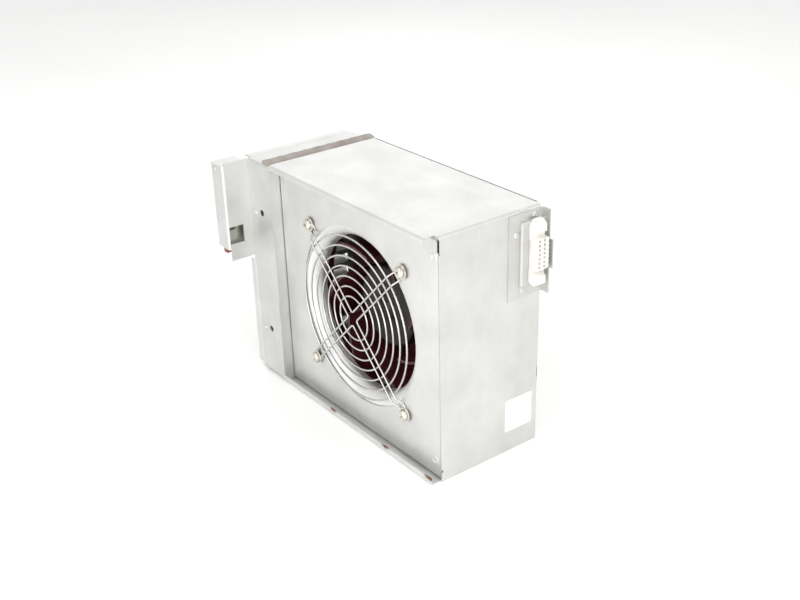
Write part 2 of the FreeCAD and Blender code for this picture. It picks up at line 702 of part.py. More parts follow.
def exhaust_grille():
    """Front plate with forward rims and two columns of louvres bent outwards."""
    z0, z1 = COLLAR_Z
    xf = FRONT_X - 0.02
    y0, y1 = -LIP, BOX_W
    tall = [(xf - SHEET - RIM, z0), (xf, z0), (xf, z1), (xf - SHEET - RIM, z1)]
    plate = folded(tall, SHEET, 0.8, on_xz(y0 + 3), V(0, y1 - y0 - 6, 0))
    edges = []
    for y, side in ((y0, -1), (y1, 1)):
        top = z1 if side > 0 else EAR_Z[0] - 1.5
        path = [(xf - SHEET - RIM, y), (xf, y), (xf, y - side * 6)]
        edges.append(folded(path, -side * SHEET, 0.8, on_xy(z0 + 3), V(0, 0, top - z0 - 6)))
    upper = box(xf - SHEET, y0 + 0.1, EAR_Z[0] - 4, xf, y0 + 5, z1 - 3)
    plate = fuse([plate, upper] + edges)
    spots = [(y, length, top) for y, length in louvre_spans() for top in louvre_tops()]
    plate = cut(plate, [box(xf - SHEET - 1, y, top - SLOT_H, xf + 1, y + length, top)
                        for y, length, top in spots])
    vanes = []
    for y, length, top in spots:
        outline = [on_xz(y)(p) for p in vane(xf, top)]
        vanes.append(Part.Face(Part.makePolygon(outline + outline[:1])).extrude(V(0, length, 0)))
    return fuse([plate] + vanes)


def latch_housing():
    """Bent channel beside the collar, with the striker window, a thumb slot and an end tab."""
    xb = FRONT_X - 0.02
    xf = xb - EAR_D
    y_in = -LIP - 1.6
    z0, z1 = EAR_WALL_Z
    back = folded([(xb, -LIP), (xb, EAR_Y), (xb - 4, EAR_Y)], -SHEET, 0.8, on_xy(z0), V(0, 0, z1 - z0))
    tail = box(xb - SHEET, EAR_Y + 2.0, EAR_Z[0], xb, -LIP, EAR_Z[1])
    front = folded([(xb - 3.9, EAR_Y), (xf, EAR_Y), (xf, y_in), (xb - SHEET - 1.02, y_in),
                    (xb - SHEET - 1.02, 1.0)], -SHEET, 0.8, on_xy(z0), V(0, 0, z1 - z0))
    tab = box(xf + SHEET - 0.2, EAR_Y + SHEET - 0.2, z1 - SHEET, xb - SHEET + 0.2,
              y_in - SHEET + 0.2, z1)
    shape = fuse([back, tail, front, tab])
    y0 = EAR_Y + 1.5
    window = box(xb - SHEET - 1, y0, WINDOW_Z[0], xb + 1, y0 + WINDOW_W, WINDOW_Z[1])
    ym = grip_y()
    thumb = box(xf - 1, ym - 4.2, GRIP_Z[0] - 0.4, xf + 2, ym + 4.2, GRIP_Z[1] + 0.4 + LATCH_TRAVEL)
    holes = [peg((x, EAR_Y - 1, z), (0, 1, 0), 1.55, 3) for x, z in latch_pin_points()]
    return cut(shape, [window, thumb] + holes)


def grip_y():
    return (EAR_Y - LIP) / 2 - 0.3


def latch_pin_points():
    x = FRONT_X - EAR_D * 0.66
    return [(x, z) for z in PIN_Z]


def latch_pins():
    """Guide pins riveted in the housing's outer wall."""
    pins = []
    for (x, z), length in zip(latch_pin_points(), (9.0, 4.0)):
        pins.append(pan_head((x, EAR_Y - 0.03, z), (0, -1, 0), 2.2, 0.8, 1.5, length))
    return Part.makeCompound(pins)


def latch_slide():
    """Moulded slide with a ribbed thumb grip, a guide slot and a lower finger tip."""
    xf = FRONT_X - 0.02 - EAR_D
    ym = grip_y()
    foot = EAR_WALL_Z[0] + 1.5
    z0, z1 = GRIP_Z
    ribs = 5
    step = (z1 - z0) / ribs
    body = box(xf + SHEET + 0.8, EAR_Y + SHEET + 0.5, foot, plate_back() - 0.02,
               -LIP - 1.6 - SHEET - 0.5, SEAT_Z + 5)
    tip = box(xf + 5.4, EAR_Y + SHEET + 0.5, foot - 6.1, xf + 9.6, EAR_Y + SHEET + 5.0, foot + 0.5)
    stem = box(xf - 2.5, ym - 3.8, z0, xf + SHEET + 1.5, ym + 3.8, z1)
    pad = box(xf - 2.6, ym - 5.5, z0, xf - 1.0, ym + 5.5, z1)
    grips = [box(xf - 4.0, ym - 5.5, z0 + step * (k + 0.3), xf - 2.4, ym + 5.5, z0 + step * (k + 0.9))
             for k in range(ribs)]
    x, z = latch_pin_points()[0]
    slot = box(x - 1.8, EAR_Y, z - LATCH_TRAVEL - 1.9, x + 1.8, EAR_Y + 11, z + 1.9)
    seat = peg((spring_x(), ym, SEAT_Z), (0, 0, 1), 4.1, 6, 12)
    return cut(fuse([body, tip, stem, pad] + grips), [slot, seat])


def spring_x():
    return FRONT_X - EAR_D * 0.66


def plate_back():
    """X of the back of the latch plate, which lies on the slide."""
    return FRONT_X - 0.02 - SHEET - 4.2 - PLATE_X


def latch_plate():
    """Steel sheet on the slide, with the tongue that shows in the window."""
    x0 = plate_back()
    xb = FRONT_X - 0.02 - SHEET
    y0 = EAR_Y + SHEET + 0.6
    z0 = WINDOW_Z[0] - 2.0
    z1 = WINDOW_Z[1] - 2.8
    sheet = box(x0, y0, z0, x0 + PLATE_X, -LIP - 1.6 - SHEET - 0.6, SEAT_Z - 1)
    tongue = box(x0, y0, z0, x0 + PLATE_X + 1.9, y0 + TONGUE_W, z1)
    hook = box(x0, y0, z1 - 3.4, xb - 0.7, y0 + TONGUE_W - 0.6, z1)
    return fuse([sheet, tongue, hook])


def latch_spring():
    """Return spring between the slide and the housing's end tab."""
    z0 = SEAT_Z + 0.15
    z1 = EAR_WALL_Z[1] - SHEET - 0.15
    turns = 6
    steps = 10
    r = 0.45
    path = []
    for k in range(turns * steps + 1):
        a = 2 * math.pi * k / steps
        path.append(V(spring_x() + 2.9 * math.cos(a), grip_y() + 2.9 * math.sin(a),
                      z0 + r + (z1 - z0 - 2 * r) * k / (turns * steps)))
    return mitred_wire(path, r)


# ---- connector end ----

def rivet_points():
    return [(DOUBLER_Y[0] + 6.1, CONN_Z + 14.4), (CONN_Y + 0.7, DOUBLER_Z[1] - 3.5),
            (CONN_Y - 9.3, DOUBLER_Z[0] + 5.0)]


def connector_bracket():
    """Doubler plate with a raised boss for the connector and a guard leg on its far edge."""
    x0 = BOX_L + 0.02
    t = DOUBLER_T
    plate = box(x0, DOUBLER_Y[0], DOUBLER_Z[0], x0 + t, DOUBLER_Y[1], DOUBLER_Z[1])
    boss = box(x0, BOSS_Y[0], BOSS_Z[0], BOSS_X, BOSS_Y[1] + 0.1, BOSS_Z[1])
    rim = [e for e in boss.Edges if e.CenterOfMass.x > x0 + 0.5 and e.CenterOfMass.y < BOSS_Y[1]]
    boss = boss.makeChamfer(1.0, rim)
    leg = box(x0, DOUBLER_Y[1] - t, DOUBLER_Z[0], BOX_L + 7.0, DOUBLER_Y[1], DOUBLER_Z[1])
    step = box(x0, DOUBLER_Y[1] - t, CONN_Z - 12, BOX_L + 10.0, DOUBLER_Y[1], CONN_Z + 8)
    shape = fuse([plate, boss, leg, step])
    room = box(x0 - 1, BOSS_Y[0] + t, BOSS_Z[0] + t, BOSS_X - t, BOSS_Y[1], BOSS_Z[1] - t)
    w, h = CONN_BODY
    mouth = box(x0 - 1, CONN_Y - w / 2 - 0.2, CONN_Z - h / 2 - 0.2, BOSS_X + 1,
                CONN_Y + w / 2 + 0.2, CONN_Z + h / 2 + 0.2)
    holes = [peg((x0 - 1, y, z), (1, 0, 0), RIVET_HOLE, 4) for y, z in rivet_points()]
    holes += [peg((x0, CONN_Y, z), (1, 0, 0), 1.7, 6) for z in horn_z()]
    return cut(shape, [room, mouth] + holes)


def connector_rivets():
    return Part.makeCompound([blind_rivet((BOX_L + 0.05 + DOUBLER_T, y, z), (1, 0, 0), 2.3, 0.7,
                                          SHEET + DOUBLER_T) for y, z in rivet_points()])


def horn_z():
    return (CONN_Z - 17.5, CONN_Z + 17.5)


def cavity_points():
    return [(CONN_Y + sy * ROW_GAP / 2, CONN_Z + (k - (ROWS - 1) / 2) * PITCH)
            for sy in (-1, 1) for k in range(ROWS)]


def connector_housing():
    """Moulded panel connector: body with cavities, flange and a guide horn at each end."""
    x0 = BOSS_X + 0.02
    w, h = CONN_BODY
    front = BOX_L + CONN_OUT
    body = box(x0 - BODY_BACK, CONN_Y - w / 2, CONN_Z - h / 2, front, CONN_Y + w / 2, CONN_Z + h / 2)
    parts = [body]
    for z in horn_z():
        side = 1 if z > CONN_Z else -1
        z_in = CONN_Z + side * (h / 2 - 0.5)
        z_out = CONN_Z + side * 23.4
        ears = [(CONN_Y - 6.4, z_in), (CONN_Y + 5.6, z_in), (CONN_Y + 5.6, z_out - side * 4),
                (CONN_Y + 2.6, z_out), (CONN_Y - 3.4, z_out), (CONN_Y - 6.4, z_out - side * 4)]
        wire = Part.makePolygon([V(x0, y, zz) for y, zz in ears + ears[:1]])
        parts.append(Part.Face(wire).extrude(V(2.0, 0, 0)))
        base = Part.makePolygon([V(x0 + 1.5, CONN_Y + a * 4.4, z + b * 4.4 + side * 0.6)
                                 for a, b in ((-1, -1), (1, -1), (1, 1), (-1, 1), (-1, -1))])
        tip = Part.makePolygon([V(x0 + 6.4, CONN_Y + a * 3.0, z + b * 2.6 + side * 0.6)
                                for a, b in ((-1, -1), (1, -1), (1, 1), (-1, 1), (-1, -1))])
        parts.append(Part.makeLoft([base, tip], True, True))
    shape = fuse(parts)
    tools = []
    half = CAVITY / 2
    for y, z in cavity_points():
        tools.append(box(front - CAVITY_DEPTH, y - half, z - half, front + 1, y + half, z + half))
    tools += [peg((x0 - 1, CONN_Y, z), (1, 0, 0), 1.25, 6, 6) for z in horn_z()]
    for k in range(ROWS + 1):
        z = CONN_Z + (k - ROWS / 2) * PITCH
        tools.append(box(x0 + 3, CONN_Y + w / 2 - 0.5, z - 0.5, front + 1, CONN_Y + w / 2 + 1, z + 0.5))
    return cut(shape, tools)


def connector_screws():
    x0 = BOSS_X - DOUBLER_T - 0.05
    return Part.makeCompound([pan_head((x0, CONN_Y, z), (-1, 0, 0), 2.6, 1.6, 1.2, 5.0)
                              for z in horn_z()])


def connector_contacts():
    front = BOX_L + CONN_OUT
    half = 0.4
    return Part.makeCompound([box(front - CAVITY_DEPTH + 0.02, y - half, z - half, front - 1.2, y + half, z + half)
                              for y, z in cavity_points()])


def harness():
    """Jacketed motor lead from the drive board, through the bracket, to the connector's back."""
    y_run = (BASE_Y[1] + BRACKET_T + FAR_IN) / 2
    x_end = BOSS_X + 0.02 - BODY_BACK - 0.1
    x_side = CX + BRACKET_HALF[0] + 6
    points = [(x_end, CONN_Y, CONN_Z), (x_end - 8, CONN_Y, CONN_Z), (x_side, y_run, CONN_Z - 28),
              (x_side, y_run, CZ), (CX + lead_x(), y_run, CZ), (CX + lead_x(), BASE_Y[0] - 2.1, CZ)]
    return swept_wire(points, [6, 8, 6, 5], LEAD_R, 4)


def label():
    y0 = BOX_W - LABEL_IN - LABEL
    z0 = LABEL_UP
    return box(BOX_L + 0.02, y0, z0, BOX_L + 0.17, y0 + LABEL, z0 + LABEL)


NODES = {
    "cover": cover, "base": base, "inlet_panel": inlet_panel, "inlet_ring": inlet_ring,
    "finger_guard": finger_guard, "guard_screws": guard_screws, "guard_washers": guard_washers,
    "guard_nuts": guard_nuts, "impeller": impeller, "rotor_can": rotor_can,
    "rotor_magnet": rotor_magnet, "shaft": shaft, "bearings": bearings, "motor_base": motor_base,
    "drive_board": drive_board, "stator_core": stator_core, "stator_windings": stator_windings,
    "motor_bracket": motor_bracket, "motor_screws": motor_screws, "foot_rivets": foot_rivets,
    "collar": collar, "strip_rivets": strip_rivets, "gasket": gasket,
    "exhaust_grille": exhaust_grille, "latch_housing": latch_housing, "latch_pins": latch_pins,
    "latch_slide": latch_slide, "latch_plate": latch_plate, "latch_spring": latch_spring,
    "connector_bracket": connector_bracket, "connector_rivets": connector_rivets,
    "connector_housing": connector_housing, "connector_screws": connector_screws,
    "connector_contacts": connector_contacts, "harness": harness, "label": label,
}


def main():
    shapes = {}
    for name, build in NODES.items():
        shapes[name] = build()
    bounds = Part.makeCompound(list(shapes.values())).BoundBox
    shift = V(-(bounds.XMin + bounds.XMax) / 2, -(bounds.YMin + bounds.YMax) / 2, -bounds.ZMin)
    os.makedirs("parts", exist_ok=True)
    for name, shape in shapes.items():
        shape.translate(shift)
        shape.exportStep("parts/%s.step" % name)


main()
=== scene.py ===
import json
import math

import bmesh
import bpy
from mathutils import Matrix, Vector


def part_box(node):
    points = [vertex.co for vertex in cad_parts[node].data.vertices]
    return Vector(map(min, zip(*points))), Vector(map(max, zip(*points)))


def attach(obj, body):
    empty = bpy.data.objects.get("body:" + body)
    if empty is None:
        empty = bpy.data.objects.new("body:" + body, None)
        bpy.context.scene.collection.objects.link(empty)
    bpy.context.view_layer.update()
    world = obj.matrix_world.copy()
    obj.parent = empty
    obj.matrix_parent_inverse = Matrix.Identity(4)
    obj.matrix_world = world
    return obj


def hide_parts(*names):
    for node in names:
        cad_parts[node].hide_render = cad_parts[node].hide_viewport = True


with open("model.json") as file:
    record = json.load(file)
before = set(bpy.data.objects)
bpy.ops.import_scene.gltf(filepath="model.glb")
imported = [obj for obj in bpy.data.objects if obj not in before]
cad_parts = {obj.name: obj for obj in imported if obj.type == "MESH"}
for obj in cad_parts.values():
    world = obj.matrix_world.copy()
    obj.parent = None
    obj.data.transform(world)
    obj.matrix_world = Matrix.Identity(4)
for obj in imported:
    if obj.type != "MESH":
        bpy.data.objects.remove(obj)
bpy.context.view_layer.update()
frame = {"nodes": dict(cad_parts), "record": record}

MM = 0.001

# ---- where things are, taken from the frame ----
COVER_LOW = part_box("cover")[0]
PANEL_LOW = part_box("inlet_panel")[0]
IMPELLER_LOW, IMPELLER_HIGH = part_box("impeller")
FAN_X = (IMPELLER_LOW.x + IMPELLER_HIGH.x) / 2
FAN_Z = (IMPELLER_LOW.z + IMPELLER_HIGH.z) / 2


def at(x, y, z):
    """Point given in millimetres past the collar joint, behind the panel's face and above the floor."""
    return Vector((COVER_LOW.x + x * MM, PANEL_LOW.y + y * MM, z * MM))


def on_fan(x, y, z):
    """Point given in millimetres off the fan's axis and behind the panel's face."""
    return Vector((FAN_X + x * MM, PANEL_LOW.y + y * MM, FAN_Z + z * MM))


# ---- camera and light ----

def place_camera():
    """The camera stands off the connector end on the inlet side, a little above the box."""
    azimuth, elevation, roll = (math.radians(a) for a in (53.19, 26.0, -1.636))
    back = Vector((math.sin(azimuth) * math.cos(elevation), -math.cos(azimuth) * math.cos(elevation),
                   math.sin(elevation)))
    right = Vector((0, 0, 1)).cross(back).normalized()
    up = back.cross(right)
    right_rolled = right * math.cos(roll) + up * math.sin(roll)
    up_rolled = up * math.cos(roll) - right * math.sin(roll)
    data = bpy.data.cameras.new("camera")
    data.sensor_width = 36.0
    data.lens = 51.52
    camera = bpy.data.objects.new("camera", data)
    camera.matrix_world = Matrix((right_rolled, up_rolled, back)).transposed().to_4x4()
    camera.matrix_world.translation = at(665.8, -394.7, 439.9)
    bpy.context.scene.collection.objects.link(camera)
    bpy.context.scene.camera = camera


def soft_light(name, place, target, size, watts):
    """A round soft box, size metres across, that faces the target."""
    data = bpy.data.lights.new(name, "AREA")
    data.shape = "DISK"
    data.size = size
    data.energy = watts
    light = bpy.data.objects.new(name, data)
    light.location = place
    light.rotation_euler = (Vector(target) - Vector(place)).to_track_quat("-Z", "Y").to_euler()
    bpy.context.scene.collection.objects.link(light)


def light_the_studio():
    """A white tent round the part, with soft boxes before it, beside it and behind it."""
    world = bpy.data.worlds.new("white_tent")
    bpy.context.scene.world = world
    world.use_nodes = True
    world.node_tree.nodes["Background"].inputs["Color"].default_value = (1.0, 1.0, 1.0, 1.0)
    world.node_tree.nodes["Background"].inputs["Strength"].default_value = 0.92
    soft_light("front", (0.1, -0.7, 0.9), (0.05, -0.2, 0), 0.6, 2.4)
    soft_light("front_low", (0.1, -0.36, 0.04), (0.05, -0.03, 0.02), 0.3, 0.5)
    soft_light("right", (0.8, 0.1, 0.75), (0.12, 0.05, 0), 1.0, 2.8)
    soft_light("right_low", (0.75, -0.25, 0.15), (0.1, 0, 0.0), 0.35, 0.85)
    soft_light("behind", (-0.75, 0.6, 0.8), (0, 0, 0.15), 1.0, 1.8)
    bpy.context.scene.view_settings.view_transform = "Standard"


# ---- materials ----

def linear(code):
    """sRGB hex to the linear colour that shaders take."""
    parts = [int(code[i:i + 2], 16) / 255 for i in (1, 3, 5)]
    return [c / 12.92 if c <= 0.04045 else ((c + 0.055) / 1.055) ** 2.4 for c in parts] + [1.0]


def add(tree, kind, settings=None, links=None):
    """One shader node with its settings and links; stops are a colour ramp's (place, hex) pairs."""
    made = tree.nodes.new("ShaderNode" + kind)
    for key, value in (settings or {}).items():
        if key == "stops":
            while len(made.color_ramp.elements) < len(value):
                made.color_ramp.elements.new(0.5)
            for element, (place, code) in zip(made.color_ramp.elements, value):
                element.position = place
                element.color = linear(code)
        elif isinstance(key, str) and hasattr(made, key):
            setattr(made, key, value)
        else:
            made.inputs[key].default_value = value
    for key, socket in (links or {}).items():
        tree.links.new(socket, made.inputs[key])
    return made


def finish(name, low, high, patch_mm, rough, grain_mm, depth_mm, drawn=(1, 1, 1), **sockets):
    """A material whose tint drifts between two colours over patch_mm and whose gloss follows a fine
    grain, grain_mm across and depth_mm deep, drawn out along the axes where drawn is low."""
    material = bpy.data.materials.new(name)
    material.use_nodes = True
    tree = material.node_tree
    shader = tree.nodes["Principled BSDF"]
    for key, value in sockets.items():
        shader.inputs[key].default_value = value
    place = add(tree, "TexCoord").outputs["Object"]
    patches = add(tree, "TexNoise", {"Scale": 1 / (patch_mm * MM), "Detail": 4.0}, {"Vector": place})
    colour = add(tree, "ValToRGB", {"stops": [(0.3, low), (0.7, high)]}, {"Fac": patches.outputs["Fac"]})
    along = add(tree, "Mapping", {"Scale": drawn}, {"Vector": place})
    grain = add(tree, "TexNoise", {"Scale": 1 / (grain_mm * MM), "Detail": 2.0},
                {"Vector": along.outputs["Vector"]})
    gloss = add(tree, "MapRange", {"From Min": 0.3, "From Max": 0.7, "To Min": rough[0], "To Max": rough[1]},
                {"Value": grain.outputs["Fac"]})
    relief = add(tree, "Bump", {"Distance": depth_mm * MM}, {"Height": grain.outputs["Fac"]})
    tree.links.new(colour.outputs["Color"], shader.inputs["Base Color"])
    tree.links.new(gloss.outputs["Result"], shader.inputs["Roughness"])
    tree.links.new(relief.outputs["Normal"], shader.inputs["Normal"])
    return material


def galvanised(name, rolled, low="#D3D3D1", high="#DEDEDC"):
    """Zinc coated sheet: pale, faintly clouded, streaked by the rollers and a little wavy."""
    material = finish(name, low, high, 24.0, (0.48, 0.55), 3.0, 0.003, rolled, Metallic=1.0)
    tree = material.node_tree
    shader = tree.nodes["Principled BSDF"]
    place = add(tree, "TexCoord").outputs["Object"]
    waves = add(tree, "TexNoise", {"Scale": 1 / (60 * MM), "Detail": 0.0}, {"Vector": place})
    fine = shader.inputs["Normal"].links[0].from_socket
    relief = add(tree, "Bump", {"Distance": 0.25 * MM, "Strength": 0.3},
                 {"Height": waves.outputs["Fac"], "Normal": fine})
    tree.links.new(relief.outputs["Normal"], shader.inputs["Normal"])
    return material


def spun_zinc():
    """Spun zinc coated ring: bright, with fine turning lines round the fan axis."""
    material = finish("spun_galvanised_steel", "#E9E9E8", "#F5F5F4", 20.0, (0.44, 0.54), 0.8, 0.004,
                      Metallic=1.0)
    tree = material.node_tree
    shader = tree.nodes["Principled BSDF"]
    place = add(tree, "TexCoord").outputs["Object"]
    away = add(tree, "VectorMath", {"operation": "SUBTRACT", 1: tuple(on_fan(0, 0, 0))}, {0: place})
    flat = add(tree, "VectorMath", {"operation": "MULTIPLY", 1: (1, 0, 1)}, {0: away.outputs["Vector"]})
    radius = add(tree, "VectorMath", {"operation": "LENGTH"}, {0: flat.outputs["Vector"]})
    lines = add(tree, "Math", {"operation": "DIVIDE", 1: 1.4 * MM}, {0: radius.outputs["Value"]})
    groove = add(tree, "TexNoise", {"noise_dimensions": "1D", "Scale": 1.0}, {"W": lines.outputs["Value"]})
    fine = shader.inputs["Normal"].links[0].from_socket
    relief = add(tree, "Bump", {"Distance": 0.04 * MM, "Strength": 0.5},
                 {"Height": groove.outputs["Fac"], "Normal": fine})
    tree.links.new(relief.outputs["Normal"], shader.inputs["Normal"])
    return material


def rusted_lip(rolled):
    """Zinc coated base sheet with small brown rust blooms on the lip's sheared edge."""
    material = galvanised("galvanised_base_sheet", rolled)
    tree = material.node_tree
    shader = tree.nodes["Principled BSDF"]
    clean = shader.inputs["Base Color"].links[0].from_socket
    place = add(tree, "TexCoord").outputs["Object"]
    long_way = Vector((0.35, 1, 1))
    squeezed = add(tree, "VectorMath", {"operation": "MULTIPLY", 1: tuple(long_way)}, {0: place})
    grit = add(tree, "TexNoise", {"Scale": 1 / (1.1 * MM), "Detail": 4.0}, {"Vector": place})
    total = None
    for x, reach in ((65.0, 2.1), (127.8, 2.1), (176.0, 2.8)):
        middle = tuple(at(x, -8.0, 5.2) * long_way)
        gap = add(tree, "VectorMath", {"operation": "DISTANCE", 1: middle}, {0: squeezed.outputs["Vector"]})
        near = add(tree, "MapRange", {"From Min": reach * MM, "From Max": 0.0},
                   {"Value": gap.outputs["Value"]})
        if total:
            near = add(tree, "Math", {"operation": "MAXIMUM"}, {0: near.outputs[0], 1: total.outputs[0]})
        total = near
    bloom = add(tree, "Math", {"operation": "MULTIPLY"}, {0: total.outputs[0], 1: grit.outputs["Fac"]})
    mask = add(tree, "MapRange", {"From Min": 0.08, "From Max": 0.36}, {"Value": bloom.outputs["Value"]})
    mix = add(tree, "Mix", {"data_type": "RGBA", 7: linear("#7C5230")}, {0: mask.outputs["Result"], 6: clean})
    tree.links.new(mix.outputs[2], shader.inputs["Base Color"])
    return material


def plated(name, low, high, rough):
    """Plated or ground steel: even metal with a slightly drifting tint and a pin-fine pitting."""
    return finish(name, low, high, 5.0, (rough * 0.8, rough * 1.25), 0.8, 0.008, Metallic=1.0)


def moulded(name, low, high, rough, grain_mm=0.35, depth_mm=0.012):
    """Moulded or coated plastic: even colour with faint flow clouds and the mould's fine grain."""
    return finish(name, low, high, 12.0, (rough * 0.85, rough * 1.15), grain_mm, depth_mm, IOR=1.53)


def make_finishes():
    """Every finish of the module. The zinc sheets are pale and clouded along the way they were rolled;
    plated and ground parts shine more and vary less; mouldings are even, with a soft sheen; the
    gasket's cloth is matt and rough; the sticker's film is smooth and nearly white."""
    upright = (1.0, 1.0, 0.12)
    lengthwise = (0.12, 1.0, 1.0)
    return {
        "sheet": galvanised("galvanised_sheet", upright),
        "lip": rusted_lip(lengthwise),
        "strip": galvanised("galvanised_collar_sheet", upright, "#CFCFCD", "#DADAD8"),
        "bracket": galvanised("galvanised_bracket_sheet", upright, "#CDCDCA", "#D8D8D5"),
        "ring": spun_zinc(),
        "wire": plated("nickel_plated_wire", "#C4C2C0", "#D8D6D3", 0.22),
        "yellow": plated("pale_passivated_zinc", "#CDCBC0", "#DEDCD2", 0.3),
        "zinc": plated("clear_zinc_plate", "#C9CBCB", "#DCDDDD", 0.34),
        # The latch plate's dark grey-green colour is painted shade and painted reflection of the dim inside
        # of the latch window.
        "shaded_tongue": plated("zinc_plate_painted_shade", "#A4A89D", "#B6B9AF", 0.42),
        # The motor bracket's mid-grey colour is painted shade for the unlit inside of the box; the sheet
        # itself is pale zinc.
        "inner": galvanised("galvanised_sheet_painted_shade", upright, "#7E7E7C", "#8C8C8A"),
        "oiled": plated("oiled_shaft_steel", "#454442", "#55534F", 0.4),
        "steel": plated("ground_steel", "#B4B5B6", "#CBCCCC", 0.22),
        "cast": plated("die_cast_alloy", "#A3A5A7", "#BBBDBF", 0.5),
        # The rotor cup's near-black colour is painted shade for the steel cup lying in shadow behind the
        # impeller.
        "cup": plated("drawn_steel_painted_shade", "#35322F", "#423F3C", 0.5),
        "ferrite": moulded("sintered_ferrite", "#26262A", "#333337", 0.6),
        "laminations": plated("electrical_steel", "#6F7174", "#85878A", 0.45),
        "copper": plated("enamelled_copper_wire", "#A35B33", "#C27A49", 0.3),
        "maroon": moulded("maroon_glass_filled_nylon", "#360A0E", "#481116", 0.45),
        "burgundy": moulded("burgundy_moulded_nylon", "#743532", "#87433E", 0.5),
        "white": moulded("natural_white_nylon", "#E0DED8", "#EBE9E3", 0.5),
        "black": moulded("black_vinyl_jacket", "#161617", "#222224", 0.5),
        "board": moulded("green_solder_mask", "#0D3B23", "#15502F", 0.3),
        "tin": plated("tin_plated_contacts", "#C9C7BE", "#DAD8D0", 0.3),
        "foam": moulded("conductive_fabric_gasket", "#8B837C", "#A79F97", 0.75, 0.9, 0.12),
        "film": moulded("bare_label_film", "#DFDFDD", "#E6E6E4", 0.45, 0.2, 0.003),
        "spring": plated("drawn_spring_wire", "#8E9092", "#A8AAAB", 0.3),
    }


CAD_FINISH = {
    "sheet": ["cover", "inlet_panel", "exhaust_grille", "latch_housing"],
    "lip": ["base"], "bracket": ["connector_bracket"], "strip": ["collar"], "inner": ["motor_bracket"],
    "cast": ["motor_base"], "steel": ["bearings"], "oiled": ["shaft"],
    "ferrite": ["rotor_magnet"], "board": ["drive_board"], "laminations": ["stator_core"],
    "copper": ["stator_windings"], "shaded_tongue": ["latch_plate"],
    "zinc": ["motor_screws", "guard_nuts", "connector_screws"],
    "tin": ["connector_contacts"], "black": ["harness"], "spring": ["latch_spring"],
}


def dress_frame(finishes):
    """Put the finishes on the nodes that are shown as they come from the frame."""
    for key, nodes in CAD_FINISH.items():
        for name in nodes:
            slots = frame["nodes"][name].data.materials
            if not slots:
                slots.append(finishes[key])
            for i in range(len(slots)):
                slots[i] = finishes[key]


# ---- making pieces ----

def body_of(node):
    return next(b for b, nodes in frame["record"]["behaviour"]["bodies"].items() if node in nodes)


def install(mesh, name, finish, node, stands_for=True):
    """Link a mesh as a piece that rides with a node's body and takes its slot."""
    piece = bpy.data.objects.new(name, mesh)
    bpy.context.scene.collection.objects.link(piece)
    mesh.materials.clear()
    mesh.materials.append(finish)
    mesh.shade_smooth()
    mesh.set_sharp_from_angle(angle=math.radians(38))
    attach(piece, body_of(node))
    if stands_for:
        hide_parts(node)
    return piece


def mesh_from(bm, name):
    bmesh.ops.remove_doubles(bm, verts=bm.verts, dist=1e-6)
    bmesh.ops.recalc_face_normals(bm, faces=bm.faces)
    mesh = bpy.data.meshes.new(name)
    bm.to_mesh(mesh)
    bm.free()
    return mesh


def arc(x, y, r, start, end, steps=6):
    """Points round (x, y) from one angle to another, in degrees."""
    angles = [math.radians(start + (end - start) * k / steps) for k in range(steps + 1)]
    return [(x + r * math.cos(a), y + r * math.sin(a)) for a in angles]


def turn(bm, profile, foot, axis, steps, closed):
    """Spin (radius, height) points in millimetres round the axis that stands on foot."""
    swing = Vector((0, 0, 1)).rotation_difference(Vector(axis)).to_matrix().to_4x4()
    place = Matrix.Translation(foot) @ swing
    rings = []
    for k in range(steps):
        a = 2 * math.pi * k / steps
        rings.append([bm.verts.new(place @ Vector((r * MM * math.cos(a), r * MM * math.sin(a), h * MM)))
                      for r, h in profile])
    spans = len(profile) if closed else len(profile) - 1
    for k in range(steps):
        here, there = rings[k], rings[(k + 1) % steps]
        for i in range(spans):
            j = (i + 1) % len(profile)
            corners = [here[i], there[i], there[j], here[j]]
            bm.faces.new(corners)


def turned(name, profile, foots, axis, steps=48, closed=False):
    """One mesh of the same turned form on each foot."""
    bm = bmesh.new()
    for foot in foots:
        turn(bm, profile, foot, axis, steps, closed)
    bmesh.ops.dissolve_degenerate(bm, dist=1e-7, edges=bm.edges)
    return mesh_from(bm, name)


def rounded(points, radii, steps=6):
    """The path with each inner corner rounded."""
    points = [Vector(p) for p in points]
    path = [points[0]]
    for i in range(1, len(points) - 1):
        corner = points[i]
        a = (points[i - 1] - corner).normalized()
        b = (points[i + 1] - corner).normalized()
        half = a.angle(b) / 2
        centre = corner + (a + b).normalized() * radii[i - 1] / math.sin(half)
        start = (corner + a * radii[i - 1] / math.tan(half) - centre).normalized()
        end = (corner + b * radii[i - 1] / math.tan(half) - centre).normalized()
        for k in range(steps + 1):
            path.append(centre + start.slerp(end, k / steps) * radii[i - 1])
    return path + [points[-1]]


def wires(name, paths, radius, closed):
    """Round wire along each path, as one mesh."""
    curve = bpy.data.curves.new(name, "CURVE")
    curve.dimensions = "3D"
    curve.bevel_depth = radius
    curve.bevel_resolution = 3
    curve.use_fill_caps = True
    for path in paths:
        spline = curve.splines.new("POLY")
        spline.points.add(len(path) - 1)
        for point, p in zip(spline.points, path):
            point.co = (*p, 1)
        spline.use_cyclic_u = closed
    holder = bpy.data.objects.new(name + "_line", curve)
    bpy.context.scene.collection.objects.link(holder)
    bpy.context.view_layer.update()
    mesh = bpy.data.meshes.new_from_object(holder.evaluated_get(bpy.context.evaluated_depsgraph_get()))
    bpy.data.objects.remove(holder)
    bpy.data.curves.remove(curve)
    mesh.name = name
    return mesh


def apply_modifiers(mesh, setups):
    """The mesh after each (kind, settings) modifier in turn."""
    holder = bpy.data.objects.new("workpiece", mesh)
    bpy.context.scene.collection.objects.link(holder)
    for kind, settings in setups:
        modifier = holder.modifiers.new(kind.lower(), kind)
        for key, value in settings.items():
            setattr(modifier, key, value)
    bpy.context.view_layer.update()
    made = bpy.data.meshes.new_from_object(holder.evaluated_get(bpy.context.evaluated_depsgraph_get()))
    bpy.data.objects.remove(holder)
    return made


